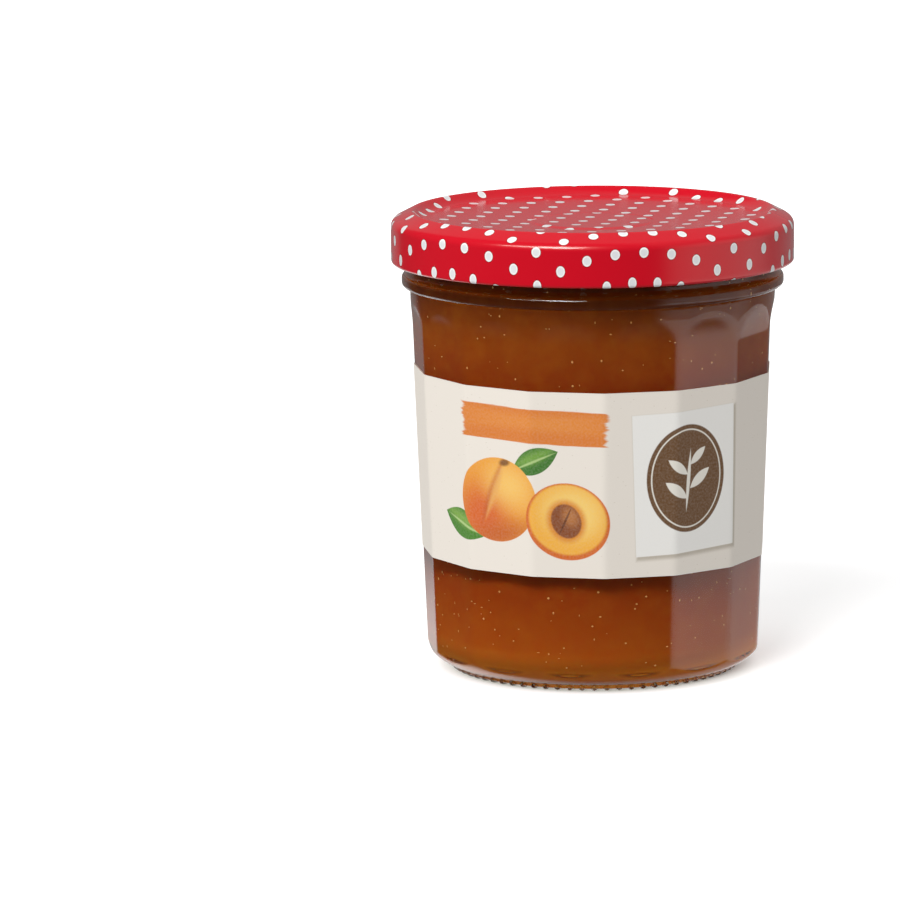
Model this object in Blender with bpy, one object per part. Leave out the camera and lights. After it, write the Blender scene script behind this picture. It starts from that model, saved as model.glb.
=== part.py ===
"""A shut jar of jam: faceted glass, the jam in it, a twist-off lid and a paper label.

The origin is at the centre of the ring that the jar stands on, with +Z up.
The side of the label that faces -Y is its front.
"""
import math

import bmesh
import bpy

# Driving sizes, in metres
BODY_RADIUS_LOW = 0.03578
BODY_RADIUS_HIGH = 0.03870
HEEL_HEIGHT = 0.0060
HEEL_STEPS = 8
HEEL_FULLNESS = 1.6
SHOULDER_HEIGHT = 0.0812
RING_OUTER_RADIUS = 0.0308
RING_INNER_RADIUS = 0.0265
PUNT_DEPTH = 0.0012
PUNT_STEPS = 3

FACETS = 15
FACET_TURN = math.radians(3.6)
FLAT_TOP = 0.0729
ARCH_HEIGHT = 0.0060
ARCH_STEPS = 5
STEPS_PER_FACET = 5

WALL = 0.0025
FLOOR_HEIGHT = 0.0036
FLOOR_CROWN = 0.0008
FLOOR_FILLET = 0.0050
FLOOR_FILLET_STEPS = 4
FLOOR_STEPS = 3

GROOVE_DEPTH = 0.0004
GROOVE_WIDTH = 0.0003
GROOVE_STEPS = 2
COLLAR_RADIUS = 0.04045
COLLAR_TOP = 0.0845
COLLAR_ROUNDING = 0.0009
COLLAR_STEPS = 3
COLLAR_CHAMFER = 0.0013
NECK_RADIUS = 0.0392
RIM_HEIGHT = 0.0953
RIM_ROUNDING = 0.0008
RIM_STEPS = 3
MOUTH_RADIUS = 0.0360

LID_RADIUS = 0.04265
LID_BOTTOM = 0.0869
LID_CREST_HEIGHT = 0.0979
LID_CREST_RADIUS = 0.0382
LID_CREST_ROUNDING = 0.0008
LID_CREST_STEPS = 5
LID_CORNER_ROUNDING = 0.0020
LID_CORNER_STEPS = 4
LID_SHOULDER_SLOPE = 27
LID_SKIRT_TOP = 0.0945
LID_WALL = 0.0006
LID_CURL_WIDTH = 0.0013
LID_CURL_HEIGHT = 0.0014
LID_CURL_STEPS = 4
PANEL_HEIGHT = 0.0963
PANEL_RADIUS = 0.0369
PANEL_DISH = 0.0013
PANEL_STEPS = 3
BUTTON_RADIUS = 0.01225
BUTTON_RISE = 0.0003
BUTTON_SLOPE = 0.0008
LID_STEPS = 72

JAM_LEVEL = 0.0895
JAM_STEPS = 60

LABEL_BOTTOM = 0.0252
LABEL_TOP = 0.0644
LABEL_THICKNESS = 0.0003
LABEL_SLANT = math.radians(0.5)

# Between neighbours, and what tells the outer wall from the inner one
GAP = 0.0003
MARGIN = 0.0003

GLASS_COLOUR = (0.86, 0.90, 0.88, 1.0)
JAM_COLOUR = (0.26, 0.055, 0.008, 1.0)
LID_COLOUR = (0.55, 0.008, 0.018, 1.0)
PAPER_COLOUR = (0.74, 0.66, 0.57, 1.0)


def clear_scene():
    """Remove whatever the file opens with."""
    for item in list(bpy.data.objects):
        bpy.data.objects.remove(item, do_unlink=True)


def make_material(name, colour, roughness, transmission=0.0):
    """One Principled material."""
    material = bpy.data.materials.new(name)
    material.use_nodes = True
    shader = material.node_tree.nodes["Principled BSDF"]
    shader.inputs["Base Color"].default_value = colour
    shader.inputs["Roughness"].default_value = roughness
    shader.inputs["Transmission Weight"].default_value = transmission
    return material


def body_radius(height):
    """Radius of the tapered body, on the corners between its facets."""
    share = (height - HEEL_HEIGHT) / (SHOULDER_HEIGHT - HEEL_HEIGHT)
    return BODY_RADIUS_LOW + share * (BODY_RADIUS_HIGH - BODY_RADIUS_LOW)


def flat_radius(height):
    """Distance from the axis to the middle of a facet."""
    return body_radius(height) * math.cos(math.pi / FACETS)


def bore_radius(height):
    """Radius of the round inner wall."""
    return min(flat_radius(height) - WALL, MOUTH_RADIUS)


def run_out(height):
    """How far a facet curves outwards above its flat part, to end in an arch."""
    rise = height - FLAT_TOP
    if rise <= 0:
        return 0.0
    depth = body_radius(FLAT_TOP + ARCH_HEIGHT) - flat_radius(FLAT_TOP + ARCH_HEIGHT)
    sweep = (ARCH_HEIGHT ** 2 + depth ** 2) / (2 * depth)
    return sweep - math.sqrt(sweep ** 2 - rise ** 2)


def arc(centre, radii, start, end, steps):
    """Points of an elliptical arc in the profile plane, from start to end degrees."""
    points = []
    for step in range(steps + 1):
        angle = math.radians(start + (end - start) * step / steps)
        points.append((centre[0] + radii[0] * math.cos(angle),
                       centre[1] + radii[1] * math.sin(angle)))
    return points


def spin_profile(profile, steps, turn=0.0):
    """Spin a closed profile of (radius, height) points round the Z axis into a body."""
    body = bmesh.new()
    points = []
    for radius, height in profile:
        points.append(body.verts.new((radius * math.sin(turn), -radius * math.cos(turn), height)))
    edges = [body.edges.new(pair) for pair in zip(points, points[1:])]
    if profile[0][0] > 0:
        edges.append(body.edges.new((points[-1], points[0])))
    bmesh.ops.spin(body, geom=points + edges, cent=(0, 0, 0), axis=(0, 0, 1),
                   angle=2 * math.pi, steps=steps, use_merge=True)
    bmesh.ops.remove_doubles(body, verts=body.verts, dist=1e-6)
    bmesh.ops.recalc_face_normals(body, faces=body.faces)
    return body


def finish_object(name, body, material, sharp_angle=30):
    """Turn the finished shape into a smooth-shaded object in the scene."""
    mesh = bpy.data.meshes.new(name)
    body.to_mesh(mesh)
    body.free()
    mesh.shade_smooth()
    mesh.set_sharp_from_angle(angle=math.radians(sharp_angle))
    mesh.materials.append(material)
    bpy.context.collection.objects.link(bpy.data.objects.new(name, mesh))


def heel_curve():
    """Points from the ring up to the body, along a curve less full than a quarter ellipse."""
    points = []
    power = 2 / HEEL_FULLNESS
    for step in range(HEEL_STEPS + 1):
        angle = math.pi / 2 * step / HEEL_STEPS
        width = (BODY_RADIUS_LOW - RING_OUTER_RADIUS) * math.sin(angle) ** power
        points.append((RING_OUTER_RADIUS + width, HEEL_HEIGHT * (1 - math.cos(angle) ** power)))
    points[-1] = (BODY_RADIUS_LOW, HEEL_HEIGHT)
    return points


def glass_outside():
    """Profile of the glass from the middle of the punt up its outside to the rim."""
    profile = []
    for step in range(PUNT_STEPS + 1):
        radius = RING_INNER_RADIUS * step / PUNT_STEPS
        profile.append((radius, PUNT_DEPTH * (1 - (radius / RING_INNER_RADIUS) ** 2)))
    profile += heel_curve()
    for step in range(ARCH_STEPS + 1):
        height = FLAT_TOP + ARCH_HEIGHT * step / ARCH_STEPS
        profile.append((body_radius(height), height))
    groove_radius = BODY_RADIUS_HIGH - GROOVE_DEPTH
    groove_size = (GROOVE_DEPTH, GROOVE_DEPTH)
    profile += arc((groove_radius, SHOULDER_HEIGHT), groove_size, 0, 90, GROOVE_STEPS)
    underside = SHOULDER_HEIGHT + GROOVE_DEPTH + GROOVE_WIDTH
    profile.append((groove_radius, underside))
    bead_centre = (COLLAR_RADIUS - COLLAR_ROUNDING, underside + COLLAR_ROUNDING)
    profile += arc(bead_centre, (COLLAR_ROUNDING, COLLAR_ROUNDING), -90, 0, COLLAR_STEPS)
    profile.append((COLLAR_RADIUS, COLLAR_TOP))
    profile.append((NECK_RADIUS, COLLAR_TOP + COLLAR_CHAMFER))
    rim_centre = (NECK_RADIUS - RIM_ROUNDING, RIM_HEIGHT - RIM_ROUNDING)
    profile += arc(rim_centre, (RIM_ROUNDING, RIM_ROUNDING), 0, 90, RIM_STEPS)
    return profile


def inside_wall(clearance, top):
    """Profile of the inner wall and floor, from the given top down to the axis."""
    corner_height = FLOOR_HEIGHT + FLOOR_FILLET
    profile = [(bore_radius(top) - clearance, top)]
    if top > SHOULDER_HEIGHT:
        profile.append((bore_radius(SHOULDER_HEIGHT) - clearance, SHOULDER_HEIGHT))
    corner = (bore_radius(corner_height) - FLOOR_FILLET, corner_height)
    rounding = FLOOR_FILLET - clearance
    profile += arc(corner, (rounding, rounding), 0, -90, FLOOR_FILLET_STEPS)
    edge_radius = corner[0]
    for step in range(1, FLOOR_STEPS + 1):
        radius = edge_radius * (1 - step / FLOOR_STEPS)
        crown = FLOOR_CROWN * (1 - (radius / edge_radius) ** 2)
        profile.append((radius, FLOOR_HEIGHT + clearance + crown))
    return profile


def press_facets(body):
    """Push the round body in to its tapered flats, which end in scallops on the round heel."""
    facet_width = 2 * math.pi / FACETS
    for point in body.verts:
        height = point.co.z
        radius = math.hypot(point.co.x, point.co.y)
        below_top = height < FLAT_TOP + ARCH_HEIGHT + MARGIN
        on_body = below_top and radius > bore_radius(height) + MARGIN
        if not on_body or height <= 0:
            continue
        angle = math.atan2(point.co.x, -point.co.y) - FACET_TURN
        from_middle = angle % facet_width - facet_width / 2
        flat = flat_radius(height) + run_out(height)
        scale = min(1.0, flat / math.cos(from_middle) / radius)
        point.co.x *= scale
        point.co.y *= scale


def build_glass_jar():
    """The jar: ring to stand on, faceted body, collar under the lid and open mouth."""
    glass = make_material("soda_lime_glass", GLASS_COLOUR, 0.02, transmission=1.0)
    profile = glass_outside() + inside_wall(0.0, RIM_HEIGHT)
    body = spin_profile(profile, FACETS * STEPS_PER_FACET, FACET_TURN)
    press_facets(body)
    finish_object("glass_jar", body, glass)


def build_jam():
    """The jam, a solid from the floor of the jar up to a level behind the lid."""
    fruit = make_material("apricot_jam", JAM_COLOUR, 0.25)
    profile = [(0.0, JAM_LEVEL)] + inside_wall(GAP, JAM_LEVEL)
    body = spin_profile(profile, JAM_STEPS)
    finish_object("jam", body, fruit)


def panel_height(radius):
    """Top of the lid's panel, which the vacuum in the jar draws down in the middle."""
    return PANEL_HEIGHT - PANEL_DISH * (1 - (radius / PANEL_RADIUS) ** 2)


def lid_outside():
    """Profile of the lid from the middle of its button down its outside to the curl."""
    profile = [(0.0, panel_height(0.0) + BUTTON_RISE)]
    profile.append((BUTTON_RADIUS, panel_height(BUTTON_RADIUS) + BUTTON_RISE))
    button_foot = BUTTON_RADIUS + BUTTON_SLOPE
    for step in range(PANEL_STEPS + 1):
        radius = button_foot + (PANEL_RADIUS - button_foot) * step / PANEL_STEPS
        profile.append((radius, panel_height(radius)))
    crest_centre = (LID_CREST_RADIUS, LID_CREST_HEIGHT - LID_CREST_ROUNDING)
    crest_size = (LID_CREST_ROUNDING, LID_CREST_ROUNDING)
    profile += arc(crest_centre, crest_size, 180, 90 - LID_SHOULDER_SLOPE, LID_CREST_STEPS)
    corner_centre = (LID_RADIUS - LID_CORNER_ROUNDING, LID_SKIRT_TOP)
    corner_size = (LID_CORNER_ROUNDING, LID_CORNER_ROUNDING)
    profile += arc(corner_centre, corner_size, 90 - LID_SHOULDER_SLOPE, 0, LID_CORNER_STEPS)
    curl_radius = LID_CURL_WIDTH / 2
    curl_centre = (LID_RADIUS - curl_radius, LID_BOTTOM + curl_radius)
    profile += arc(curl_centre, (curl_radius, curl_radius), 0, -180, LID_CURL_STEPS)
    return profile


def lid_inside():
    """Profile of the lid from the curl up its inner wall, over the rim to the axis."""
    inner_radius = LID_RADIUS - LID_WALL
    seat_radius = MOUTH_RADIUS - LID_WALL
    seat_height = RIM_HEIGHT + GAP
    profile = [(LID_RADIUS - LID_CURL_WIDTH, LID_BOTTOM + LID_CURL_HEIGHT),
               (inner_radius, LID_BOTTOM + LID_CURL_HEIGHT + LID_WALL),
               (inner_radius, LID_SKIRT_TOP),
               (NECK_RADIUS + LID_WALL, seat_height)]
    for step in range(PANEL_STEPS + 1):
        radius = seat_radius * (1 - step / PANEL_STEPS)
        profile.append((radius, min(seat_height, panel_height(radius) - LID_WALL)))
    return profile


def build_lid():
    """The pressed steel lid: raised button, dished panel, round crest, skirt and curl."""
    lacquer = make_material("lacquered_tinplate", LID_COLOUR, 0.2)
    body = spin_profile(lid_outside() + lid_inside(), LID_STEPS)
    finish_object("lid", body, lacquer)


def build_label():
    """The paper wrapped round the facets, put on slightly aslant."""
    paper = make_material("label_paper", PAPER_COLOUR, 0.7)
    facet_cosine = math.cos(math.pi / FACETS)
    profile = []
    for height, offset in ((LABEL_BOTTOM, 0.0), (LABEL_BOTTOM, LABEL_THICKNESS),
                           (LABEL_TOP, LABEL_THICKNESS), (LABEL_TOP, 0.0)):
        profile.append(((flat_radius(height) + GAP + offset) / facet_cosine, height))
    body = spin_profile(profile, FACETS, FACET_TURN)
    for point in body.verts:
        point.co.z -= math.tan(LABEL_SLANT) * point.co.x
    finish_object("label", body, paper, sharp_angle=10)


def main():
    clear_scene()
    build_glass_jar()
    build_jam()
    build_lid()
    build_label()


main()
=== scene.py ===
# A shut jar of apricot jam with a polka-dot twist-off lid, in metres, +Z up
import math

import bmesh
import bpy
from mathutils import Matrix, Vector


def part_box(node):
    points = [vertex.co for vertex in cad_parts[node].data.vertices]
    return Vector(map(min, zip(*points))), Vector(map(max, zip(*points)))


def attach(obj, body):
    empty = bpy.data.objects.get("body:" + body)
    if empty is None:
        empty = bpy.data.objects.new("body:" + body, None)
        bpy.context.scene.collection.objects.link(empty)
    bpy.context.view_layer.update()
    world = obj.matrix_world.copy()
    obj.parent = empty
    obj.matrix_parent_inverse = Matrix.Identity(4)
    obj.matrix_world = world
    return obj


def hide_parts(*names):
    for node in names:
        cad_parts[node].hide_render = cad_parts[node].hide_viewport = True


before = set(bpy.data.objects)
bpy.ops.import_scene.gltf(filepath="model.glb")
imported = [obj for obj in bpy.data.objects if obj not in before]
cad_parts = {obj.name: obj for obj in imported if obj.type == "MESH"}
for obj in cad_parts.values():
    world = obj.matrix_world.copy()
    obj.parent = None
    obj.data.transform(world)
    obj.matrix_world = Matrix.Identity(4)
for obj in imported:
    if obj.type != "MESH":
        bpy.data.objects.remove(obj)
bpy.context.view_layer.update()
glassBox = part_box("glass_jar")
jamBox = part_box("jam")
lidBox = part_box("lid")
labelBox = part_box("label")
print("frame loaded")

millimetre = 0.001


# Colours and nodes

def hexColour(code):
    # sRGB hex to the linear colour that Blender's sockets take
    channels = []
    for start in (0, 2, 4):
        value = int(code[start:start + 2], 16) / 255
        channels.append(value / 12.92 if value <= 0.04045 else ((value + 0.055) / 1.055) ** 2.4)
    return (*channels, 1.0)


def addNode(tree, kind, inputs=None, **settings):
    # one node with its settings, its values and its links
    node = tree.nodes.new(kind)
    for name, value in settings.items():
        setattr(node, name, value)
    for key, value in (inputs or {}).items():
        if isinstance(value, bpy.types.NodeSocket):
            tree.links.new(value, node.inputs[key])
        else:
            node.inputs[key].default_value = value
    return node


def newMaterial(name):
    material = bpy.data.materials.new(name)
    material.use_nodes = True
    material.node_tree.nodes.clear()
    return material, material.node_tree


def showSurface(tree, shader):
    addNode(tree, "ShaderNodeOutputMaterial", {"Surface": shader})


# Shapes shared by the pieces

jarSizes = {
    "heelRadius": 0.03578,       # on the corners between the facets
    "shoulderRadius": 0.03870,
    "heelHeight": 0.0055,
    "heelFullness": 1.6,         # 2 would be a quarter ellipse, 1 a straight chamfer
    "shoulderHeight": 0.0812,
    "ringOuterRadius": 0.0308,   # the ring that the jar stands on
    "ringInnerRadius": 0.0265,
    "ringLift": 0.0006,          # the glass between the knurls clears the floor by this
    "footHeight": 0.0014,        # the ring's outer wall ends here
    "ringRounding": 0.0003,
    "puntDepth": 0.0012,
    "facets": 15,
    "facetTurn": math.radians(3.6),
    "flatTop": 0.0729,
    "archHeight": 0.0060,
    "cornerBlend": 0.00030,      # how far a corner is rounded off
    "wall": 0.0025,
    "floorHeight": 0.0036,
    "floorCrown": 0.0008,
    "floorFillet": 0.0050,
    "grooveDepth": 0.0004,
    "grooveWidth": 0.0003,
    "collarRadius": 0.04045,
    "collarTop": 0.0845,
    "collarRounding": 0.0009,
    "collarChamfer": 0.0013,
    "neckRadius": 0.0392,
    "rimRounding": 0.0008,
    "mouthRadius": 0.0360,
    "stepsPerFacet": 24,
}
facetWidth = 2 * math.pi / jarSizes["facets"]


def arcPoints(centre, radii, start, end, steps):
    # points of an elliptical arc in the (radius, height) plane, angles in degrees
    points = []
    for step in range(steps + 1):
        angle = math.radians(start + (end - start) * step / steps)
        points.append((centre[0] + radii[0] * math.cos(angle), centre[1] + radii[1] * math.sin(angle)))
    return points


def roundThePoint(angle, radius, height):
    # angle 0 faces -Y, the front, and grows towards +X
    return (radius * math.sin(angle), -radius * math.cos(angle), height)


def smoothMin(first, second, blend):
    overlap = max(blend - abs(first - second), 0.0) / blend
    return min(first, second) - overlap * overlap * blend / 4


def bodyRadius(height):
    share = (height - jarSizes["heelHeight"]) / (jarSizes["shoulderHeight"] - jarSizes["heelHeight"])
    return jarSizes["heelRadius"] + share * (jarSizes["shoulderRadius"] - jarSizes["heelRadius"])


def flatRadius(height):
    return bodyRadius(height) * math.cos(facetWidth / 2)


def boreRadius(height):
    return min(flatRadius(height) - jarSizes["wall"], jarSizes["mouthRadius"])


def facetRadius(angle, flat, roundRadius=1.0):
    # distance from the axis to flats that meet in rounded corners, or to a round body where that is closer
    fromMiddle = (angle - jarSizes["facetTurn"]) % facetWidth - facetWidth / 2
    own = flat / math.cos(fromMiddle)
    neighbour = flat / math.cos(facetWidth - abs(fromMiddle))
    blend = jarSizes["cornerBlend"]
    return smoothMin(smoothMin(own, neighbour, blend), roundRadius, blend)


def runOut(height):
    # how far a facet curves outwards above its flat part, to end in an arch
    rise = height - jarSizes["flatTop"]
    if rise <= 0:
        return 0.0
    archTop = jarSizes["flatTop"] + jarSizes["archHeight"]
    depth = bodyRadius(archTop) - flatRadius(archTop)
    sweep = (jarSizes["archHeight"] ** 2 + depth ** 2) / (2 * depth)
    return sweep - math.sqrt(max(sweep ** 2 - rise ** 2, 0.0))


def newPiece(name, points, faces):
    # an object of these faces, all turned outwards
    mesh = bpy.data.meshes.new(name)
    mesh.from_pydata(points, [], faces)
    shape = bmesh.new()
    shape.from_mesh(mesh)
    bmesh.ops.recalc_face_normals(shape, faces=shape.faces)
    shape.to_mesh(mesh)
    shape.free()
    mesh.shade_smooth()
    piece = bpy.data.objects.new(name, mesh)
    bpy.context.scene.collection.objects.link(piece)
    return piece


def skinRows(name, rows):
    # a piece over rings of points; a row of one point is a pole
    points = []
    starts = []
    for row in rows:
        starts.append(len(points))
        points += row
    faces = []
    for lower, upper in zip(range(len(rows)), range(1, len(rows))):
        lowCount, highCount = len(rows[lower]), len(rows[upper])
        count = max(lowCount, highCount)
        for step in range(count):
            following = (step + 1) % count
            lowPlaces = (step, following) if lowCount > 1 else (0,)
            highPlaces = (following, step) if highCount > 1 else (0,)
            corners = [starts[lower] + place for place in lowPlaces]
            corners += [starts[upper] + place for place in highPlaces]
            faces.append(corners)
    return newPiece(name, points, faces)


def storeVectors(piece, name, values):
    # a vector on each point of the mesh, for the material to read
    attribute = piece.data.attributes.new(name, "FLOAT_VECTOR", "POINT")
    attribute.data.foreach_set("vector", [number for value in values for number in value])


def finishPiece(piece, material, node):
    piece.data.materials.clear()
    piece.data.materials.append(material)
    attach(piece, "root")
    if node:
        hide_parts(node)
    print("made", piece.name, len(piece.data.polygons), "faces")


def bakeNodes(piece):
    # turns what the Geometry Nodes make into a plain mesh and takes the modifier off
    depsgraph = bpy.context.evaluated_depsgraph_get()
    made = bpy.data.meshes.new_from_object(piece.evaluated_get(depsgraph))
    piece.modifiers.clear()
    piece.data = made
    made.name = piece.name


def addGeometryNodes(piece, tree, values):
    modifier = piece.modifiers.new(tree.name, "NODES")
    modifier.node_group = tree
    sockets = {item.name: item.identifier for item in tree.interface.items_tree if item.in_out == "INPUT"}
    for name, value in values.items():
        modifier[sockets[name]] = value


def newGeometryTree(name, inputs):
    tree = bpy.data.node_groups.new(name, "GeometryNodeTree")
    tree.interface.new_socket("Geometry", in_out="INPUT", socket_type="NodeSocketGeometry")
    for label, kind in inputs.items():
        tree.interface.new_socket(label, in_out="INPUT", socket_type=kind)
    tree.interface.new_socket("Geometry", in_out="OUTPUT", socket_type="NodeSocketGeometry")
    return tree, tree.nodes.new("NodeGroupInput")


# Materials

glassLook = {"colour": "F4F8F5", "ior": 1.5, "roughness": 0.0, "shadowColour": "EDEFEC"}


def makeGlassMaterial():
    # soda-lime glass, pressed and fire polished: clear, its facets smooth and sharp in what they mirror
    material, tree = newMaterial("pressed_soda_lime_glass")
    glass = addNode(tree, "ShaderNodeBsdfPrincipled", {
        "Base Color": hexColour(glassLook["colour"]), "Roughness": glassLook["roughness"],
        "IOR": glassLook["ior"], "Transmission Weight": 1.0})
    clear = addNode(tree, "ShaderNodeBsdfTransparent", {"Color": hexColour(glassLook["shadowColour"])})
    path = addNode(tree, "ShaderNodeLightPath")
    letThrough = addNode(tree, "ShaderNodeMath", {
        0: path.outputs["Is Shadow Ray"], 1: path.outputs["Is Diffuse Ray"]}, operation="MAXIMUM")
    mixed = addNode(tree, "ShaderNodeMixShader", {
        0: letThrough.outputs[0], 1: glass.outputs[0], 2: clear.outputs[0]})
    showSurface(tree, mixed.outputs[0])
    return material


jamLook = {
    # height in mm and colour there: painted shade on the underside, which gets no light, painted light where
    # light comes in at the heel and the shoulder, and darker towards the top
    "colours": ((3.5, "5A260C"), (3.7, "9A4A13"), (4.1, "CE711E"), (9, "B45412"), (20, "A3430D"),
                (66, "9A3F0D"), (73, "9C480F"), (80, "8A3F0D"), (86, "702D07")),
    "pulpColour": "C8741F",
    "pulpSize": 6.0,       # mm, soft clouds of fruit
    "pulpCover": (0.42, 0.85),   # the noise from which a cloud shows, and where it is full
    "pulpStrength": 0.22,
    "scatterRadius": (0.0040, 0.0016, 0.0005),
    "roughness": 0.35,
    "ior": 1.06,           # against the glass, not against air
}


def makeJamMaterial():
    # cooked apricot jam, set against the glass: amber brown, glowing a little, cloudy with fine pulp
    material, tree = newMaterial("set_apricot_jam")
    place = addNode(tree, "ShaderNodeTexCoord").outputs["Object"]
    height = addNode(tree, "ShaderNodeSeparateXYZ", {0: place}).outputs["Z"]
    # colour by height, which paints shade on the jam's underside and light at its heel and shoulder
    share = addNode(tree, "ShaderNodeMapRange", {"Value": height, "From Max": jamBox[1].z})
    ramp = addNode(tree, "ShaderNodeValToRGB", {0: share.outputs[0]})
    for number, (level, colour) in enumerate(jamLook["colours"]):
        elements = ramp.color_ramp.elements
        element = elements[number] if number < 2 else elements.new(1.0)
        element.position = level * millimetre / jamBox[1].z
        element.color = hexColour(colour)
    clouds = addNode(tree, "ShaderNodeTexNoise", {
        "Vector": place, "Scale": 1 / (jamLook["pulpSize"] * millimetre), "Detail": 3.0, "Roughness": 0.6})
    cloudShare = addNode(tree, "ShaderNodeMapRange", {
        "Value": clouds.outputs[0], "From Min": jamLook["pulpCover"][0],
        "From Max": jamLook["pulpCover"][1], "To Max": jamLook["pulpStrength"]})
    cloudy = addNode(tree, "ShaderNodeMix", {
        "Factor": cloudShare.outputs[0], "A": ramp.outputs[0], "B": hexColour(jamLook["pulpColour"])},
        data_type="RGBA")
    jam = addNode(tree, "ShaderNodeBsdfPrincipled", {
        "Base Color": cloudy.outputs["Result"], "Roughness": jamLook["roughness"], "IOR": jamLook["ior"],
        "Subsurface Weight": 1.0, "Subsurface Radius": jamLook["scatterRadius"], "Subsurface Scale": 1.0})
    showSurface(tree, jam.outputs[0])
    return material


speckLook = {"colour": "F7C384", "darker": "D98A3C", "toneScale": 180.0, "roughness": 0.3}


def makeSpeckMaterial():
    # shreds of apricot, and small air bubbles pressed against the glass whose glints are painted into their
    # colour: pale gold points
    material, tree = newMaterial("apricot_pulp_and_painted_glint_specks")
    place = addNode(tree, "ShaderNodeTexCoord").outputs["Object"]
    tone = addNode(tree, "ShaderNodeTexNoise", {"Vector": place, "Scale": speckLook["toneScale"]})
    colour = addNode(tree, "ShaderNodeMix", {"Factor": tone.outputs[0], "A": hexColour(speckLook["darker"]),
                                             "B": hexColour(speckLook["colour"])}, data_type="RGBA")
    speck = addNode(tree, "ShaderNodeBsdfPrincipled", {
        "Base Color": colour.outputs["Result"], "Roughness": speckLook["roughness"], "IOR": jamLook["ior"]})
    showSurface(tree, speck.outputs[0])
    return material


lidLook = {
    "red": "D20420",
    "outline": "8E0216",
    "dot": "FBF9F6",
    "dotCentre": "E8EAEC",
    "dotRadius": 1.02,               # mm on the flat sheet, before the lid is drawn
    "outlineWidth": 0.10,            # mm
    "outlineFade": 0.08,             # of the dot's radius
    "rowA": (6.34, 13.0),            # pitch in mm and direction in degrees of the two rows of dots
    "rowB": (6.25, 76.5),
    "oneDot": (-0.46, 5.55),         # mm, a dot's place on the sheet
    "roughness": 0.24,
    "coat": 0.4,
    "coatRoughness": 0.08,
    "sheen": "FFEFE2",               # the lacquer mirrors a little warmer than white
}


def makeLidMaterial():
    # tinplate printed with red and white enamel under clear lacquer: glossy, its dots drawn out on the skirt
    material, tree = newMaterial("lacquered_printed_tinplate")
    sheet = addNode(tree, "ShaderNodeAttribute", attribute_name="sheet").outputs["Vector"]
    inSheet = addNode(tree, "ShaderNodeVectorMath", {0: sheet, "Scale": 1 / millimetre}, operation="SCALE")
    fromDot = addNode(tree, "ShaderNodeVectorMath", {
        0: inSheet.outputs[0], 1: (*lidLook["oneDot"], 0)}, operation="SUBTRACT").outputs[0]
    rows = []
    for pitch, direction in (lidLook["rowA"], lidLook["rowB"]):
        angle = math.radians(direction)
        rows.append(Vector((pitch * math.cos(angle), pitch * math.sin(angle), 0)))
    area = rows[0].x * rows[1].y - rows[0].y * rows[1].x
    counts = (Vector((rows[1].y, -rows[1].x, 0)) / area, Vector((-rows[0].y, rows[0].x, 0)) / area)
    offset = None
    for row, count in zip(rows, counts):
        along = addNode(tree, "ShaderNodeVectorMath", {0: fromDot, 1: count}, operation="DOT_PRODUCT")
        along = along.outputs["Value"]
        nearest = addNode(tree, "ShaderNodeMath", {0: along}, operation="ROUND").outputs[0]
        apart = addNode(tree, "ShaderNodeMath", {0: along, 1: nearest}, operation="SUBTRACT").outputs[0]
        part = addNode(tree, "ShaderNodeVectorMath", {0: row, "Scale": apart}, operation="SCALE").outputs[0]
        if offset is not None:
            part = addNode(tree, "ShaderNodeVectorMath", {0: offset, 1: part}, operation="ADD").outputs[0]
        offset = part
    distance = addNode(tree, "ShaderNodeVectorMath", {0: offset}, operation="LENGTH").outputs["Value"]
    radius = lidLook["dotRadius"]
    outer = radius + lidLook["outlineWidth"]
    # the ramp covers two radii, so that a dot ends at its middle
    share = addNode(tree, "ShaderNodeMapRange", {"Value": distance, "From Max": 2 * radius})
    ramp = addNode(tree, "ShaderNodeValToRGB", {0: share.outputs[0]})
    stops = ((0.0, lidLook["dotCentre"]), (0.30, lidLook["dotCentre"]), (0.40, lidLook["dot"]),
             (0.49, lidLook["dot"]), (0.51, lidLook["outline"]), (outer / 2 / radius, lidLook["outline"]),
             (outer / 2 / radius + lidLook["outlineFade"] / 2, lidLook["red"]))
    for number, (position, colour) in enumerate(stops):
        elements = ramp.color_ramp.elements
        element = elements[number] if number < 2 else elements.new(position)
        element.position = position
        element.color = hexColour(colour)
    lacquer = addNode(tree, "ShaderNodeBsdfPrincipled", {
        "Base Color": ramp.outputs[0], "Roughness": lidLook["roughness"],
        "Specular Tint": hexColour(lidLook["sheen"]),
        "Coat Weight": lidLook["coat"], "Coat Roughness": lidLook["coatRoughness"]})
    showSurface(tree, lacquer.outputs[0])
    return material


# The glass

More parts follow.
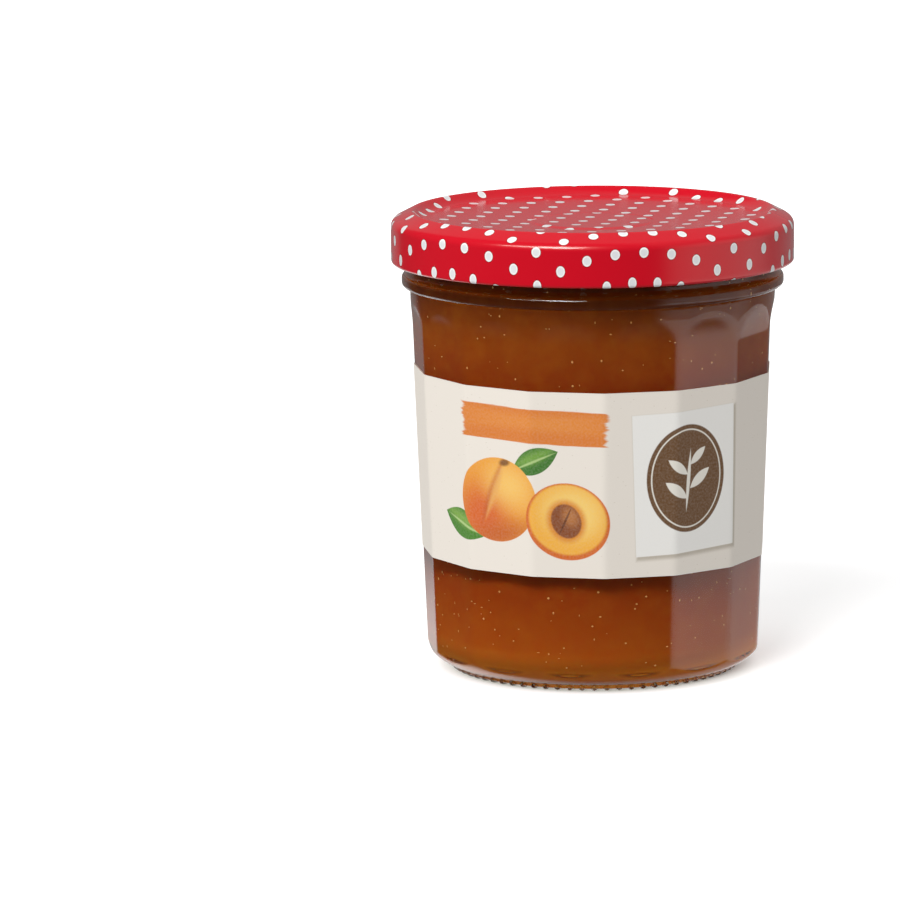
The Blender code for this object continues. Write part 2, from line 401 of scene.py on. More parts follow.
def glassOutside():
    # from the middle of the punt up the outside to the rim
    sizes = jarSizes
    profile = []
    for step in range(9):
        share = step / 8
        height = sizes["ringLift"] + sizes["puntDepth"] * (1 - share ** 2)
        profile.append((sizes["ringInnerRadius"] * share, height))
    edge = sizes["ringRounding"]
    corner = (sizes["ringOuterRadius"] - edge, sizes["ringLift"] + edge)
    profile += arcPoints(corner, (edge, edge), -90, 0, 5)
    power = 2 / sizes["heelFullness"]
    heelSteps = 36
    for step in range(heelSteps + 1):
        angle = math.pi / 2 * step / heelSteps
        width = (sizes["heelRadius"] - sizes["ringOuterRadius"]) * math.sin(angle) ** power
        rise = (sizes["heelHeight"] - sizes["footHeight"]) * (1 - abs(math.cos(angle)) ** power)
        profile.append((sizes["ringOuterRadius"] + width, sizes["footHeight"] + rise))
    for step in range(1, 17):
        height = sizes["heelHeight"] + (sizes["flatTop"] - sizes["heelHeight"]) * step / 16
        profile.append((bodyRadius(height), height))
    for step in range(1, 25):
        height = sizes["flatTop"] + sizes["archHeight"] * step / 24
        profile.append((bodyRadius(height), height))
    groove = sizes["shoulderRadius"] - sizes["grooveDepth"]
    depth = sizes["grooveDepth"]
    profile += arcPoints((groove, sizes["shoulderHeight"]), (depth, depth), 0, 80, 5)
    underside = sizes["shoulderHeight"] + depth + sizes["grooveWidth"]
    rounding = sizes["collarRounding"]
    inset = sizes["collarRadius"] - rounding
    profile.append((groove + 0.2 * rounding, underside))
    profile += arcPoints((inset, underside + rounding), (rounding, rounding), -90, 0, 8)
    profile += arcPoints((inset, sizes["collarTop"] - rounding), (rounding, rounding), 0, 75, 10)
    profile.append((sizes["neckRadius"], sizes["collarTop"] + sizes["collarChamfer"]))
    rounding = sizes["rimRounding"]
    corner = (sizes["neckRadius"] - rounding, glassBox[1].z - rounding)
    profile += arcPoints(corner, (rounding, rounding), 0, 90, 6)
    return profile


def glassInside(grow, top):
    # from the top of the inner wall down and over the floor to the axis
    sizes = jarSizes
    corner = sizes["floorHeight"] + sizes["floorFillet"]
    profile = [(boreRadius(top) + grow, top)]
    for step in range(13):
        height = sizes["shoulderHeight"] + (corner - sizes["shoulderHeight"]) * step / 12
        if height < top - millimetre:
            profile.append((boreRadius(height) + grow, height))
    fillet = sizes["floorFillet"] + grow
    centre = (boreRadius(corner) - sizes["floorFillet"], corner)
    profile += arcPoints(centre, (fillet, fillet), 0, -90, 12)[1:]
    for step in range(1, 9):
        radius = centre[0] * (1 - step / 8)
        crown = sizes["floorCrown"] * (1 - (radius / centre[0]) ** 2)
        profile.append((radius, sizes["floorHeight"] - grow + crown))
    return profile


def glassPoint(angle, radius, height):
    # the facets cut the round body and its round heel, and end there in shallow scallops
    archTop = jarSizes["flatTop"] + jarSizes["archHeight"]
    if height <= archTop + 1e-6 and radius > jarSizes["ringOuterRadius"]:
        radius = facetRadius(angle, flatRadius(height) + runOut(height), radius)
    return roundThePoint(angle, radius, height)


def turnedRows(profile, columns, place=roundThePoint):
    rows = []
    for radius, height in profile:
        if radius < 1e-6:
            rows.append([(0.0, 0.0, height)])
        else:
            rows.append([place(2 * math.pi * step / columns, radius, height) for step in range(columns)])
    return rows


def makeGlass(material):
    columns = jarSizes["facets"] * jarSizes["stepsPerFacet"]
    rows = turnedRows(glassOutside(), columns, glassPoint)
    rows += turnedRows(glassInside(0.0, glassBox[1].z - jarSizes["rimRounding"]), columns)
    piece = skinRows("jar_glass", rows)
    finishPiece(piece, material, "glass_jar")


knurlSizes = {"Count": 72, "Ring radius": 0.0292, "Length": 0.0036, "Width": 0.0017, "Height": 0.0015}


def makeKnurls(material):
    # the short ribs round the ring that the jar stands on
    kinds = {"Count": "NodeSocketInt", "Ring radius": "NodeSocketFloat", "Length": "NodeSocketFloat",
             "Width": "NodeSocketFloat", "Height": "NodeSocketFloat", "Glass": "NodeSocketMaterial"}
    tree, given = newGeometryTree("base_knurls", kinds)
    ring = addNode(tree, "GeometryNodeMeshCircle", {
        "Vertices": given.outputs["Count"], "Radius": given.outputs["Ring radius"]})
    half = addNode(tree, "ShaderNodeMath", {0: given.outputs["Height"], 1: 0.5}, operation="MULTIPLY")
    lift = addNode(tree, "ShaderNodeCombineXYZ", {"Z": half.outputs[0]})
    lifted = addNode(tree, "GeometryNodeTransform", {
        "Geometry": ring.outputs[0], "Translation": lift.outputs[0]})
    place = addNode(tree, "GeometryNodeInputPosition")
    outwards = addNode(tree, "ShaderNodeVectorMath", {
        0: place.outputs[0], 1: (1, 1, 0)}, operation="MULTIPLY")
    turned = addNode(tree, "FunctionNodeAlignRotationToVector", {"Vector": outwards.outputs[0]}, axis="X")
    size = addNode(tree, "ShaderNodeCombineXYZ", {
        "X": given.outputs["Length"], "Y": given.outputs["Width"], "Z": given.outputs["Height"]})
    bead = addNode(tree, "GeometryNodeMeshUVSphere", {"Segments": 8, "Rings": 6, "Radius": 0.5})
    spread = addNode(tree, "GeometryNodeInstanceOnPoints", {
        "Points": lifted.outputs[0], "Instance": bead.outputs["Mesh"],
        "Rotation": turned.outputs[0], "Scale": size.outputs[0]})
    real = addNode(tree, "GeometryNodeRealizeInstances", {0: spread.outputs[0]})
    smooth = addNode(tree, "GeometryNodeSetShadeSmooth", {0: real.outputs[0]})
    painted = addNode(tree, "GeometryNodeSetMaterial", {
        "Geometry": smooth.outputs[0], "Material": given.outputs["Glass"]})
    addNode(tree, "NodeGroupOutput", {0: painted.outputs[0]})
    piece = bpy.data.objects.new("base_knurls", bpy.data.meshes.new("base_knurls"))
    bpy.context.scene.collection.objects.link(piece)
    addGeometryNodes(piece, tree, {**knurlSizes, "Glass": material})
    bakeNodes(piece)
    finishPiece(piece, material, None)


# The jam

jamSizes = {"intoWall": 0.00015, "columns": 180}


def makeJam(material):
    top = jamBox[1].z
    profile = [(0.0, top)] + glassInside(jamSizes["intoWall"], top)
    piece = skinRows("apricot_jam", turnedRows(profile, jamSizes["columns"]))
    finishPiece(piece, material, "jam")
    return piece


speckSizes = {"Density": 46000.0, "Most size": 0.00055, "Seed": 7}


def makeSpecks(jam, material):
    # specks scattered over the side of the jam
    kinds = {"Density": "NodeSocketFloat", "Most size": "NodeSocketFloat", "Seed": "NodeSocketInt",
             "Pulp": "NodeSocketMaterial"}
    tree, given = newGeometryTree("jam_specks", kinds)
    normal = addNode(tree, "GeometryNodeInputNormal")
    upright = addNode(tree, "ShaderNodeSeparateXYZ", {0: normal.outputs[0]})
    slope = addNode(tree, "ShaderNodeMath", {0: upright.outputs["Z"]}, operation="ABSOLUTE")
    onSide = addNode(tree, "FunctionNodeCompare", {"A": slope.outputs[0], "B": 0.5}, operation="LESS_THAN")
    points = addNode(tree, "GeometryNodeDistributePointsOnFaces", {
        "Mesh": given.outputs["Geometry"], "Selection": onSide.outputs[0],
        "Density": given.outputs["Density"], "Seed": given.outputs["Seed"]})
    size = addNode(tree, "FunctionNodeRandomValue", {
        "Min": (0.25, 0.25, 0.25), "Max": (1.0, 1.0, 1.0), "Seed": given.outputs["Seed"]},
        data_type="FLOAT_VECTOR")
    scaled = addNode(tree, "ShaderNodeVectorMath", {
        0: size.outputs[0], "Scale": given.outputs["Most size"]}, operation="SCALE")
    bead = addNode(tree, "GeometryNodeMeshIcoSphere", {"Subdivisions": 2, "Radius": 0.5})
    spread = addNode(tree, "GeometryNodeInstanceOnPoints", {
        "Points": points.outputs["Points"], "Instance": bead.outputs["Mesh"], "Scale": scaled.outputs[0]})
    real = addNode(tree, "GeometryNodeRealizeInstances", {0: spread.outputs[0]})
    smooth = addNode(tree, "GeometryNodeSetShadeSmooth", {0: real.outputs[0]})
    painted = addNode(tree, "GeometryNodeSetMaterial", {
        "Geometry": smooth.outputs[0], "Material": given.outputs["Pulp"]})
    addNode(tree, "NodeGroupOutput", {0: painted.outputs[0]})
    piece = bpy.data.objects.new("jam_specks", jam.data.copy())
    bpy.context.scene.collection.objects.link(piece)
    addGeometryNodes(piece, tree, {**speckSizes, "Pulp": material})
    bakeNodes(piece)
    finishPiece(piece, material, None)


# The lid

lidSizes = {
    "radius": 0.04265,
    "crestRadius": 0.0382,
    "crestRounding": 0.0008,
    "cornerRounding": 0.0020,
    "shoulderSlope": 27,        # degrees
    "skirtTop": 0.0945,
    "sheet": 0.00025,
    "curlRadius": 0.00065,
    "behindCurl": 0.0019,       # how high the sheet starts behind the curl
    "curlGap": 0.0002,
    "panelHeight": 0.0963,
    "panelRadius": 0.0369,
    "panelEdge": 0.0352,        # where the panel starts to curve up to the crest
    "crestInside": 130,         # degrees, up to where the crest is round
    "crestSweep": 1.7,          # how late the panel curves up to it
    "panelDish": 0.0013,
    "buttonRadius": 0.01225,
    "buttonRise": 0.0003,
    "buttonSlope": 0.0008,
    "columns": 240,
}


def panelHeight(radius):
    # the vacuum in the jar draws the panel down in the middle, and the button stands a little proud of it
    sizes = lidSizes
    dish = sizes["panelHeight"] - sizes["panelDish"] * (1 - (radius / sizes["panelRadius"]) ** 2)
    share = (sizes["buttonRadius"] + sizes["buttonSlope"] - radius) / sizes["buttonSlope"]
    share = min(max(share, 0.0), 1.0)
    return dish + sizes["buttonRise"] * share * share * (3 - 2 * share)


def lidOutside():
    # from the middle of the button down the outside to the curl
    sizes = lidSizes
    profile = []
    for step in range(57):
        radius = sizes["panelEdge"] * step / 56
        profile.append((radius, panelHeight(radius)))
    rounding = sizes["crestRounding"]
    crest = (sizes["crestRadius"], lidBox[1].z - rounding)
    crestArc = arcPoints(crest, (rounding, rounding), sizes["crestInside"], 90 - sizes["shoulderSlope"], 10)
    foot, top = profile[-1], crestArc[0]
    for step in range(1, 12):
        share = step / 12
        rise = share ** sizes["crestSweep"]
        profile.append((foot[0] + share * (top[0] - foot[0]), foot[1] + rise * (top[1] - foot[1])))
    profile += crestArc
    rounding = sizes["cornerRounding"]
    corner = (sizes["radius"] - rounding, sizes["skirtTop"])
    profile += arcPoints(corner, (rounding, rounding), 90 - sizes["shoulderSlope"], 0, 12)
    curl = sizes["curlRadius"]
    curlHeight = lidBox[0].z + curl
    for step in range(1, 8):
        height = sizes["skirtTop"] + (curlHeight - sizes["skirtTop"]) * step / 8
        profile.append((sizes["radius"], height))
    profile += arcPoints((sizes["radius"] - curl, curlHeight), (curl, curl), 0, -230, 20)
    return profile


def lidInside():
    # the inner side of the sheet, from behind the curl back to the axis
    sizes = lidSizes
    inner = sizes["radius"] - sizes["sheet"]
    seat = glassBox[1].z + sizes["sheet"]
    profile = [(inner - sizes["curlGap"], lidBox[0].z + 2 * sizes["curlRadius"]),
               (inner, lidBox[0].z + sizes["behindCurl"]),
               (inner, sizes["skirtTop"]), (jarSizes["neckRadius"], seat)]
    for step in range(17):
        radius = jarSizes["mouthRadius"] * (1 - step / 16)
        profile.append((radius, min(seat, panelHeight(radius) - sizes["sheet"])))
    return profile


def makeLid(material):
    outside, inside = lidOutside(), lidInside()
    columns = lidSizes["columns"]
    piece = skinRows("twist_off_lid", turnedRows(outside + inside, columns))
    # where each point lay on the flat printed sheet, whose area the press keeps
    places = []
    covered = 0.0
    last = outside[0]
    for radius, height in outside + inside:
        covered += (radius + last[0]) / 2 * math.dist((radius, height), last)
        last = (radius, height)
        flat = math.sqrt(2 * covered)
        steps = 1 if radius < 1e-6 else columns
        for step in range(steps):
            places.append(roundThePoint(2 * math.pi * step / columns, flat, 0.0))
    storeVectors(piece, "sheet", places)
    finishPiece(piece, material, "lid")


# The label

labelSizes = {
    "clearance": 0.00006,
    "thickness": 0.00012,
    "slant": math.radians(0.5),
    "overlap": math.radians(14),
    "overlapRise": 0.000156,        # how far the end of the strip is lifted over its start
    "easeIn": 0.12,                 # radians over which it is lifted
    "seam": math.radians(174),      # where the strip starts, at the back
    "columns": 480,
    "rows": 10,
    "sharpFrom": math.radians(40),
}


def makeLabel(material):
    sizes = labelSizes
    slantDrop = math.tan(sizes["slant"]) * bodyRadius(labelBox[1].z)
    low = labelBox[0].z + slantDrop
    high = labelBox[1].z - slantDrop
    reach = 2 * math.pi + sizes["overlap"]
    places = []
    columns = []
    along = 0.0
    last = None
    for column in range(sizes["columns"] + 1):
        angle = sizes["seam"] - 2 * math.pi + reach * column / sizes["columns"]
        share = min(max((angle - sizes["seam"]) / sizes["easeIn"] + 1, 0.0), 1.0)
        lift = sizes["clearance"] + sizes["overlapRise"] * share * share * (3 - 2 * share)
        flat = flatRadius((low + high) / 2) + lift
        middle = Vector(roundThePoint(angle, facetRadius(angle, flat), 0.0))
        if last is not None:
            along += (middle - last).length
        last = middle
        columns.append((angle, lift, along))
    frontAlong = min(columns, key=lambda column: abs(column[0]))[2]
    outer = [[] for row in range(sizes["rows"] + 1)]
    inner = [[] for row in range(sizes["rows"] + 1)]
    for angle, lift, along in columns:
        for row in range(sizes["rows"] + 1):
            height = low + (high - low) * row / sizes["rows"]
            for rows, offset in ((outer, lift + sizes["thickness"]), (inner, lift)):
                radius = facetRadius(angle, flatRadius(height) + offset)
                x, y, z = roundThePoint(angle, radius, height)
                rows[row].append((x, y, z - math.tan(sizes["slant"]) * x))
    rows = outer + inner[::-1]
    for number in range(len(rows)):
        level = number if number <= sizes["rows"] else 2 * sizes["rows"] + 1 - number
        for angle, lift, along in columns:
            places.append((along - frontAlong, (high - low) * level / sizes["rows"], 0.0))
    piece = skinStrip("paper_label", rows)
    storeVectors(piece, "print", places)
    finishPiece(piece, material, "label")


def skinStrip(name, rows):
    # a closed strip of paper: rows go up its outer face and down its inner one
    count = len(rows[0])
    points = [point for row in rows for point in row]
    faces = []
    for row in range(len(rows)):
        following = (row + 1) % len(rows)
        for step in range(count - 1):
            faces.append((row * count + step, row * count + step + 1,
                          following * count + step + 1, following * count + step))
    half = len(rows) // 2
    for end in (0, count - 1):
        for row in range(half - 1):
            mirrored = len(rows) - 1 - row
            faces.append((row * count + end, (row + 1) * count + end,
                          (mirrored - 1) * count + end, mirrored * count + end))
    piece = newPiece(name, points, faces)
    piece.data.set_sharp_from_angle(angle=labelSizes["sharpFrom"])
    return piece


paperLook = {
    "paper": "F1E9DE",
    "fleck": "BFB19B",
    "fleckStretch": (0.9, 2.2),
    "fleckScale": 0.55,
    "fleckEdge": (0.04, 0.10),
    "fleckStrength": 0.55,
    "inkGrain": 0.10,          # how much of the paper shows through the ink
    "grainScale": 2.2,
    "grainCover": (0.35, 0.75),
    "brushHairs": (0.12, 1.5),
    "brushRag": (3.2, 0.6),    # mm, how far the ends and sides of a brushed stroke wander
    "roughness": 0.62,
    "gloss": 0.3,
}


def paintShape(tree, place, kind, centre, size, turn=0.0, soft=0.08):
    # how far a point of the print, in mm, is inside a shape: 1 inside, 0 outside
    if kind == "brush":
        # a box whose ends are ragged, as a dry brush leaves them
        hairs = addNode(tree, "ShaderNodeMapping", {"Vector": place, "Scale": (*paperLook["brushHairs"], 1)})
        wander = addNode(tree, "ShaderNodeTexNoise", {
            "Vector": hairs.outputs[0], "Scale": 1.0, "Detail": 3.0})
        centred = addNode(tree, "ShaderNodeVectorMath", {
            0: wander.outputs["Color"], 1: (0.5, 0.5, 0.5)}, operation="SUBTRACT")
        shift = addNode(tree, "ShaderNodeVectorMath", {
            0: centred.outputs[0], 1: (*paperLook["brushRag"], 0)}, operation="MULTIPLY")
        moved = addNode(tree, "ShaderNodeVectorMath", {0: place, 1: shift.outputs[0]}, operation="ADD")
        place = moved.outputs[0]
    local = addNode(tree, "ShaderNodeMapping", {
        "Vector": place, "Location": (*centre, 0), "Rotation": (0, 0, math.radians(turn)),
        "Scale": (*size, 1)}, vector_type="TEXTURE").outputs[0]
    if kind == "ellipse":
        flat = addNode(tree, "ShaderNodeVectorMath", {0: local, 1: (1, 1, 0)}, operation="MULTIPLY")
        reach = addNode(tree, "ShaderNodeVectorMath", {0: flat.outputs[0]}, operation="LENGTH")
        reach = reach.outputs["Value"]
    else:
        apart = addNode(tree, "ShaderNodeVectorMath", {0: local}, operation="ABSOLUTE")
        sides = addNode(tree, "ShaderNodeSeparateXYZ", {0: apart.outputs[0]}).outputs
        if kind == "leaf":
            square = addNode(tree, "ShaderNodeMath", {0: sides["X"], 1: 2.0}, operation="POWER")
            reach = addNode(tree, "ShaderNodeMath", {0: sides["Y"], 1: square.outputs[0]}, operation="ADD")
        else:
            reach = addNode(tree, "ShaderNodeMath", {0: sides["X"], 1: sides["Y"]}, operation="MAXIMUM")
        reach = reach.outputs[0]
    edge = soft / min(size)
    inside = addNode(tree, "ShaderNodeMapRange", {
        "Value": reach, "From Min": 1 - edge, "From Max": 1 + edge, "To Min": 1.0, "To Max": 0.0},
        interpolation_type="SMOOTHSTEP")
    return inside.outputs[0]


# shapes of the print: kind, centre and half size in mm, turn in degrees, softness in mm, colour, strength,
# and the number of the earlier shape that it stays inside
labelPrint = [
    ("leaf", (-31.2, 9.4), (6.6, 3.0), 163, 0.10, "4C8A2C", 1.0, None),
    ("leaf", (-31.4, 10.4), (5.6, 1.2), 163, 1.20, "86B24C", 0.9, 0),
    ("leaf", (-30.4, 9.2), (6.2, 0.28), 163, 0.15, "B9D58A", 0.9, 0),
    ("leaf", (-12.6, 24.4), (5.6, 2.7), 24, 0.10, "3F7A28", 1.0, None),
    ("leaf", (-12.8, 25.2), (4.8, 1.1), 24, 1.10, "7BAA45", 0.9, 3),
    ("leaf", (-12.8, 24.3), (5.2, 0.25), 24, 0.15, "B3D184", 0.9, 3),
    ("ellipse", (-21.6, 15.6), (9.4, 8.9), 12, 0.12, "F2A235", 1.0, None),
    ("ellipse", (-25.6, 12.0), (6.6, 6.4), 0, 5.00, "DA5A24", 0.85, 6),
    ("ellipse", (-20.0, 8.2), (8.6, 2.6), 12, 2.60, "C4591C", 0.75, 6),
    ("ellipse", (-18.6, 18.8), (5.0, 4.0), -20, 3.80, "FCCB6B", 0.90, 6),
    ("leaf", (-22.6, 17.6), (7.2, 0.9), 68, 0.70, "C2541A", 0.65, 6),
    ("leaf", (-21.9, 17.9), (6.6, 0.7), 68, 0.60, "FAC268", 0.60, 6),
    ("ellipse", (-19.6, 23.6), (1.2, 0.7), 10, 0.35, "7A4A1C", 0.9, 6),
    ("ellipse", (-5.6, 11.9), (9.0, 8.1), -14, 0.12, "D96B22", 1.0, None),
    ("ellipse", (-5.6, 12.3), (8.3, 7.4), -14, 0.35, "F7B441", 1.0, 13),
    ("ellipse", (-4.6, 13.6), (6.2, 5.2), -14, 2.60, "FCD475", 0.9, 14),
    ("ellipse", (-5.9, 12.0), (4.0, 4.5), 24, 0.80, "E08A2A", 0.95, 14),
    ("ellipse", (-5.9, 12.0), (3.1, 3.7), 24, 0.20, "8C4B22", 1.0, 14),
    ("ellipse", (-5.0, 13.0), (1.5, 2.0), 24, 1.10, "BE7A42", 0.9, 17),
    ("leaf", (-6.1, 12.0), (3.3, 0.22), 66, 0.12, "5F2F14", 0.8, 17),
    ("box", (21.2, 19.2), (12.6, 15.3), 2, 0.45, "B9AE9D", 0.8, None),
    ("box", (20.8, 19.7), (12.3, 15.0), 2, 0.08, "F8F6F1", 1.0, None),
    ("ellipse", (20.8, 20.4), (9.6, 11.4), 2, 0.12, "6E4C2C", 1.0, None),
    ("ellipse", (20.8, 20.4), (8.7, 10.5), 2, 0.10, "F1ECE1", 1.0, None),
    ("ellipse", (20.8, 20.4), (8.4, 10.2), 2, 0.10, "6E4C2C", 1.0, None),
    ("leaf", (20.8, 20.0), (6.6, 0.45), 86, 0.10, "F1ECE1", 1.0, None),
    ("leaf", (17.9, 18.0), (3.2, 1.1), 145, 0.10, "F1ECE1", 1.0, None),
    ("leaf", (23.8, 20.2), (3.2, 1.1), 38, 0.10, "F1ECE1", 1.0, None),
    ("leaf", (18.2, 22.9), (2.9, 1.0), 145, 0.10, "F1ECE1", 1.0, None),
    ("leaf", (23.2, 25.0), (2.6, 0.9), 42, 0.10, "F1ECE1", 1.0, None),
    ("brush", (-13.6, 31.8), (16.2, 3.6), -1.5, 0.12, "DF7E2E", 1.0, None),
    ("brush", (-13.2, 32.6), (15.4, 1.6), -1.5, 1.40, "EE9A45", 0.5, 30),
]


def makeLabelMaterial():
    # uncoated kraft-style paper, offset printed: matt cream with fine fibres, flat inks that sink into it
    material, tree = newMaterial("uncoated_label_paper")
    spread = addNode(tree, "ShaderNodeAttribute", attribute_name="print").outputs["Vector"]
    place = addNode(tree, "ShaderNodeVectorMath", {0: spread, "Scale": 1 / millimetre}, operation="SCALE")
    place = place.outputs[0]
    fibre = addNode(tree, "ShaderNodeMapping", {"Vector": place, "Scale": (*paperLook["fleckStretch"], 1)})
    flecks = addNode(tree, "ShaderNodeTexVoronoi", {
        "Vector": fibre.outputs[0], "Scale": paperLook["fleckScale"], "Randomness": 1.0})
    fleckShare = addNode(tree, "ShaderNodeMapRange", {
        "Value": flecks.outputs["Distance"], "From Min": paperLook["fleckEdge"][0],
        "From Max": paperLook["fleckEdge"][1], "To Min": paperLook["fleckStrength"], "To Max": 0.0})
    paper = hexColour(paperLook["paper"])
    colour = addNode(tree, "ShaderNodeMix", {
        "Factor": fleckShare.outputs[0], "A": paper, "B": hexColour(paperLook["fleck"])},
        data_type="RGBA").outputs["Result"]
    masks = []
    for kind, centre, size, turn, soft, ink, strength, within in labelPrint:
        mask = paintShape(tree, place, kind, centre, size, turn, soft)
        masks.append(mask)
        limits = [masks[within]] if within is not None else []
        limits += [strength] if strength < 1 else []
        for limit in limits:
            mask = addNode(tree, "ShaderNodeMath", {0: mask, 1: limit}, operation="MULTIPLY").outputs[0]
        colour = addNode(tree, "ShaderNodeMix", {"Factor": mask, "A": colour, "B": hexColour(ink)},
                         data_type="RGBA").outputs["Result"]
    # a little paper shows through the ink in grains
    grain = addNode(tree, "ShaderNodeTexNoise", {
        "Vector": place, "Scale": paperLook["grainScale"], "Detail": 2.0})
    grainShare = addNode(tree, "ShaderNodeMapRange", {
        "Value": grain.outputs[0], "From Min": paperLook["grainCover"][0],
        "From Max": paperLook["grainCover"][1], "To Max": paperLook["inkGrain"]})
    grainy = addNode(tree, "ShaderNodeMix", {"Factor": grainShare.outputs[0], "A": colour, "B": paper},
                     data_type="RGBA")
    printed = addNode(tree, "ShaderNodeBsdfPrincipled", {
        "Base Color": grainy.outputs["Result"], "Roughness": paperLook["roughness"],
        "Specular IOR Level": paperLook["gloss"]})
    showSurface(tree, printed.outputs[0])
    return material


# The studio

studio = {
    "floorColour": "F4F4F4",
    "floorRadius": 6.0,
    "nearGlow": 0.35,          # the floor is lit on its own as well, more so far from the jar
    "farGlow": 0.85,
    "glowReach": (0.25, 1.1),
    "contactShadow": (0.027, 0.036),   # it stays dark under the jar
    "sideFill": 0.75,          # what matt surfaces get from the sides and the back
    "frontFill": 0.22,
    "throughGlass": 0.95,      # the bright side of the studio, seen through the glass
    "inGloss": (0.24, 0.85),   # the same side as gloss mirrors it, above and below the floor's far edge
    "floorInGloss": (1.8, 0.50),   # the floor close by, behind the jar on the left and on the right
    "shadeInGloss": 0.12,          # the floor in front of it
    "frontBrightness": 0.04,
    "darkSide": (-52.0, 94.0),     # azimuth of its middle, seen from the jar, and half its width in degrees
    "panelSide": (80.0, 34.0),     # a large white panel that the right facets mirror
    "panelBrightness": 0.50,
    "sideBlend": 0.12,             # how softly the dark side and the panel end
    # where one brightness turns into the next, on a sphere of radius 1 round the jar
    "farEdge": (-0.19, -0.21),     # heights
    "nearEdge": (-0.32, -0.55),
    "leftToRight": (-0.4, 0.0),
    "frontToBack": (0.25, 0.6),
    "fillEdge": (-1.0, 0.2),
    "aimHeight": 0.05,
    "keyDirection": (-20.5, 42.0),
    "keyDistance": 2.4,
    "keySize": 0.9,
    "keyPower": 29.0,
    "stripDirection": (-37.0, 42.0),
    "stripSize": (1.5, 0.28),
    "stripPower": 20.0,
}


def directionOf(azimuth, elevation):
    side, rise = math.radians(azimuth), math.radians(elevation)
    return Vector((math.sin(side) * math.cos(rise), -math.cos(side) * math.cos(rise), math.sin(rise)))


def makeFloor():
    count = 64
    floor = skinRows("studio_floor", turnedRows([(0.0, 0.0), (studio["floorRadius"], 0.0)], count))
    material, tree = newMaterial("matt_white_floor")
    place = addNode(tree, "ShaderNodeTexCoord").outputs["Object"]
    distance = addNode(tree, "ShaderNodeVectorMath", {0: place}, operation="LENGTH").outputs["Value"]
    glow = addNode(tree, "ShaderNodeMapRange", {
        "Value": distance, "From Min": studio["glowReach"][0], "From Max": studio["glowReach"][1],
        "To Min": studio["nearGlow"], "To Max": studio["farGlow"]}, interpolation_type="SMOOTHSTEP")
    shaded = addNode(tree, "ShaderNodeMapRange", {
        "Value": distance, "From Min": studio["contactShadow"][0], "From Max": studio["contactShadow"][1]},
        interpolation_type="SMOOTHSTEP")
    glow = addNode(tree, "ShaderNodeMath", {0: glow.outputs[0], 1: shaded.outputs[0]}, operation="MULTIPLY")
    matt = addNode(tree, "ShaderNodeBsdfPrincipled", {
        "Base Color": hexColour(studio["floorColour"]), "Roughness": 1.0, "Specular IOR Level": 0.0,
        "Emission Color": (1, 1, 1, 1), "Emission Strength": glow.outputs[0]})
    showSurface(tree, matt.outputs[0])
    floor.data.materials.append(material)
    floor.visible_glossy = False
    floor.visible_diffuse = False


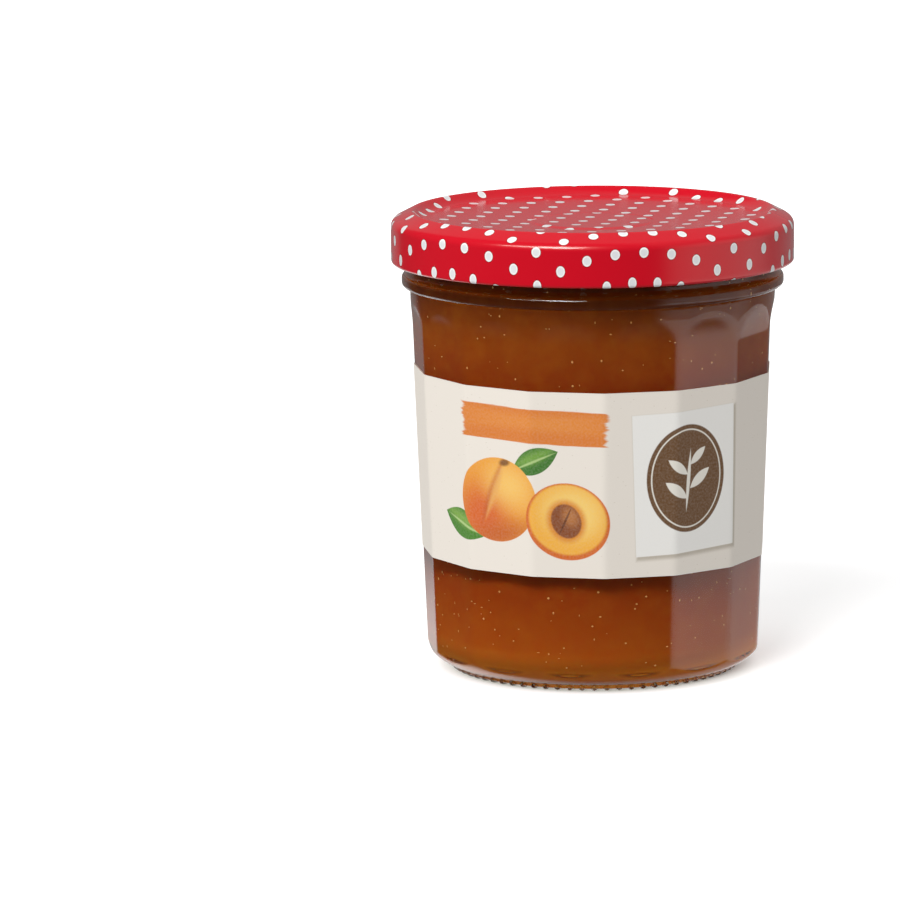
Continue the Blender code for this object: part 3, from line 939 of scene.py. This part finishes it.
def makeWorld():
    # white all round, dim towards the camera and its stand, with a white panel on the right
    world = bpy.data.worlds.new("studio")
    world.use_nodes = True
    tree = world.node_tree
    tree.nodes.clear()
    direction = addNode(tree, "ShaderNodeTexCoord").outputs["Generated"]
    path = addNode(tree, "ShaderNodeLightPath")

    def brightnessAlong(aim, edges, first, second, blend="SMOOTHSTEP"):
        # one brightness at the first edge along a direction, which turns into another by the second edge
        along = addNode(tree, "ShaderNodeVectorMath", {0: direction, 1: aim}, operation="DOT_PRODUCT")
        return addNode(tree, "ShaderNodeMapRange", {
            "Value": along.outputs["Value"], "From Min": edges[0], "From Max": edges[1],
            "To Min": first, "To Max": second}, interpolation_type=blend).outputs[0]

    def brightnessTowards(side, outside, inside):
        # one brightness on this side of the studio and another everywhere else
        azimuth, reach = side
        edge = math.cos(math.radians(reach))
        edges = (edge - studio["sideBlend"], edge + studio["sideBlend"])
        return brightnessAlong(directionOf(azimuth, 0.0), edges, outside, inside)

    right, back, up = (1, 0, 0), (0, 1, 0), (0, 0, 1)
    far = brightnessAlong(up, studio["farEdge"], *studio["inGloss"])
    dark = brightnessTowards(studio["darkSide"], far, studio["frontBrightness"])
    panel = brightnessTowards(studio["panelSide"], 0.0, studio["panelBrightness"])
    around = addNode(tree, "ShaderNodeMath", {0: dark, 1: panel}, operation="ADD").outputs[0]
    behind = brightnessAlong(right, studio["leftToRight"], *studio["floorInGloss"])
    below = brightnessAlong(back, studio["frontToBack"], studio["shadeInGloss"], behind)
    mirrored = brightnessAlong(up, studio["nearEdge"], around, below)
    through = brightnessTowards(studio["darkSide"], studio["throughGlass"], studio["frontBrightness"])
    fill = brightnessAlong(back, studio["fillEdge"], studio["frontFill"], studio["sideFill"], "LINEAR")
    strength = through
    for ray, brightness in (("Is Glossy Ray", mirrored), ("Is Diffuse Ray", fill), ("Is Camera Ray", 1.0)):
        strength = addNode(tree, "ShaderNodeMix", {
            "Factor": path.outputs[ray], "A": strength, "B": brightness}, data_type="FLOAT").outputs["Result"]
    background = addNode(tree, "ShaderNodeBackground", {"Color": (1, 1, 1, 1), "Strength": strength})
    addNode(tree, "ShaderNodeOutputWorld", {"Surface": background.outputs[0]})
    bpy.context.scene.world = world


def makeLight(name, aim, size, power):
    # a flat lamp that faces the jar from the given azimuth and elevation
    lamp = bpy.data.lights.new(name, "AREA")
    lamp.shape = "RECTANGLE"
    lamp.size, lamp.size_y = size
    lamp.energy = power
    light = bpy.data.objects.new(name, lamp)
    direction = directionOf(*aim)
    light.location = Vector((0, 0, studio["aimHeight"])) + studio["keyDistance"] * direction
    light.rotation_euler = direction.to_track_quat("Z", "Y").to_euler()
    bpy.context.scene.collection.objects.link(light)


view = {
    "place": (0.0, -1.28177, 0.26743),
    "downwards": 9.790,       # degrees
    "towardsLeft": 1.3637,
    "roll": -0.4873,
    "lens": 244.3,            # mm
    "sensor": 36.0,
}


def makeCamera():
    data = bpy.data.cameras.new("camera")
    data.lens = view["lens"]
    data.sensor_width = view["sensor"]
    camera = bpy.data.objects.new("camera", data)
    turn = Matrix.Rotation(math.radians(view["towardsLeft"]), 4, "Z")
    turn = turn @ Matrix.Rotation(math.radians(90 - view["downwards"]), 4, "X")
    turn = turn @ Matrix.Rotation(math.radians(view["roll"]), 4, "Z")
    camera.matrix_world = Matrix.Translation(view["place"]) @ turn
    bpy.context.scene.collection.objects.link(camera)
    bpy.context.scene.camera = camera
    bpy.context.scene.view_settings.view_transform = "Standard"


glass = makeGlassMaterial()
makeGlass(glass)
makeKnurls(glass)
jamPiece = makeJam(makeJamMaterial())
makeSpecks(jamPiece, makeSpeckMaterial())
makeLid(makeLidMaterial())
makeLabel(makeLabelMaterial())
makeFloor()
makeWorld()
makeLight("key_softbox", studio["keyDirection"], (studio["keySize"], studio["keySize"]), studio["keyPower"])
makeLight("strip_softbox", studio["stripDirection"], studio["stripSize"], studio["stripPower"])
makeCamera()
print("studio ready")
